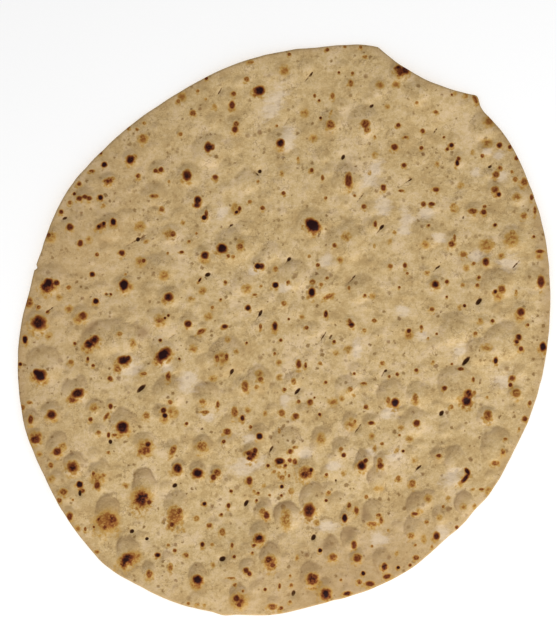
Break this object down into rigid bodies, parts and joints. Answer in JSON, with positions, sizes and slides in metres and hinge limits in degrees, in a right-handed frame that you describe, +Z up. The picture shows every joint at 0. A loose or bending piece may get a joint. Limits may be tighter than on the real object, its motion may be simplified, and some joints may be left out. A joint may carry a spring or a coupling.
{
  "type": "taftoon flatbread",
  "caption": "Thin oval sheet of baked flatbread with low leaning blisters, docking slits, a rounded rim and one torn edge.",
  "frame": {"origin": "middle of the bounding box in plan, at the height of the table the bread lies on", "axes": "+X to the right of the picture, +Y towards the top of the picture along the bread's longest side, +Z up out of the baked face"},
  "size_m": [0.399, 0.4276, 0.0096],
  "materials": {
    "crust": "matt baked crust, pale gold with brown and near-black scorch marks, flecks of bran and a dusting of flour"
  },
  "bodies": {
    "root": {"taftoon": "crust"}
  },
  "joints": []
}
